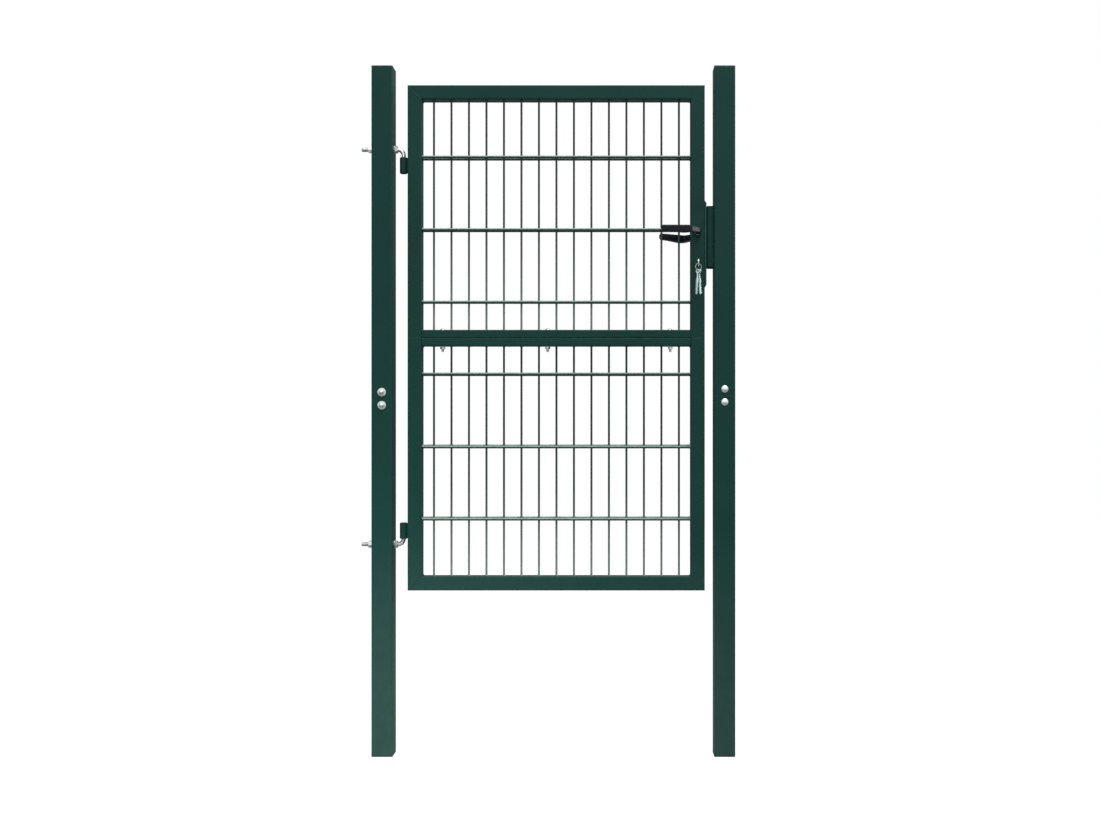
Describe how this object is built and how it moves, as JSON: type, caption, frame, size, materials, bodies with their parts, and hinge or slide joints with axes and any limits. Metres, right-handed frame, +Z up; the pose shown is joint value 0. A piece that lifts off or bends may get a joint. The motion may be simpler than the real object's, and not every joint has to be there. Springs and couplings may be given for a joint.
{
  "type": "single mesh panel gate with posts",
  "caption": "Green single-leaf garden gate of welded twin-wire mesh in a tube frame, hung between two square posts, with lever lock and keys.",
  "frame": {"origin": "middle of the flat foot of the hinge post", "axes": "+X from the hinge post to the latch post, -Y towards the side that the leaf opens to, +Z up"},
  "size_m": [1.065, 0.194, 1.96],
  "materials": {
    "green_frame_paint": "semi-gloss powder coat",
    "green_wire_paint": "semi-gloss powder coat on galvanised wire",
    "cap_plastic": "matt moulded",
    "zinc_plate": "bright zinc plated",
    "raw_galvanised": "dull galvanised",
    "lever_plastic": "smooth satin",
    "nickel": "satin nickel",
    "ring_steel": "polished wire"
  },
  "bodies": {
    "posts": {"hinge_post_lower": "green_frame_paint", "hinge_post_upper": "green_frame_paint", "hinge_post_sleeve": "raw_galvanised", "hinge_post_cap": "cap_plastic", "hinge_post_foot_cap": "cap_plastic", "hinge_post_bolts": "zinc_plate", "latch_post_lower": "green_frame_paint", "latch_post_upper": "green_frame_paint", "latch_post_sleeve": "raw_galvanised", "latch_post_cap": "cap_plastic", "latch_post_foot_cap": "cap_plastic", "latch_post_bolts": "zinc_plate", "strike_keep": "green_frame_paint", "upper_hinge_hook": "zinc_plate", "lower_hinge_hook": "zinc_plate", "upper_hook_nuts": "zinc_plate", "lower_hook_nuts": "zinc_plate"},
    "leaf": {"upper_hinge_stile": "green_frame_paint", "upper_lock_stile": "green_frame_paint", "top_rail": "green_frame_paint", "upper_mid_rail": "green_frame_paint", "lower_hinge_stile": "green_frame_paint", "lower_lock_stile": "green_frame_paint", "bottom_rail": "green_frame_paint", "lower_mid_rail": "green_frame_paint", "upper_mesh": "green_wire_paint", "lower_mesh": "green_wire_paint", "upper_hinge_barrel": "green_frame_paint", "lower_hinge_barrel": "green_frame_paint", "joining_bolts": "zinc_plate", "joining_nuts": "zinc_plate", "lock_forend": "green_frame_paint", "lock_case": "zinc_plate", "latch_bolt": "nickel", "dead_bolt": "nickel", "lock_cylinder": "nickel"},
    "levers": {"front_lever": "lever_plastic", "rear_lever": "lever_plastic", "lever_spindle": "zinc_plate"},
    "key_and_plug": {"key_plug": "nickel", "key": "nickel"},
    "ring_of_keys": {"key_ring": "ring_steel", "left_spare_key": "nickel", "right_spare_key": "nickel"}
  },
  "joints": [
    {"name": "gate_swing", "type": "hinge", "parent": "posts", "child": "leaf", "pos_m": [0.057, 0, 0], "axis": [0, 0, -1], "range_deg": [0, 90]},
    {"name": "lever_turn", "type": "hinge", "parent": "leaf", "child": "levers", "pos_m": [0.896, 0, 1.4885], "axis": [0, -1, 0], "range_deg": [0, 40], "stiffness_Nm_per_rad": 1.5, "springref_deg": -28.65},
    {"name": "key_turn", "type": "hinge", "parent": "leaf", "child": "key_and_plug", "pos_m": [0.896, 0, 1.3985], "axis": [0, -1, 0], "range_deg": [-90, 90]},
    {"name": "ring_swing", "type": "hinge", "parent": "key_and_plug", "child": "ring_of_keys", "pos_m": [0.896, -0.046, 1.3957], "axis": [0, -1, 0], "range_deg": [-20, 20]}
  ]
}
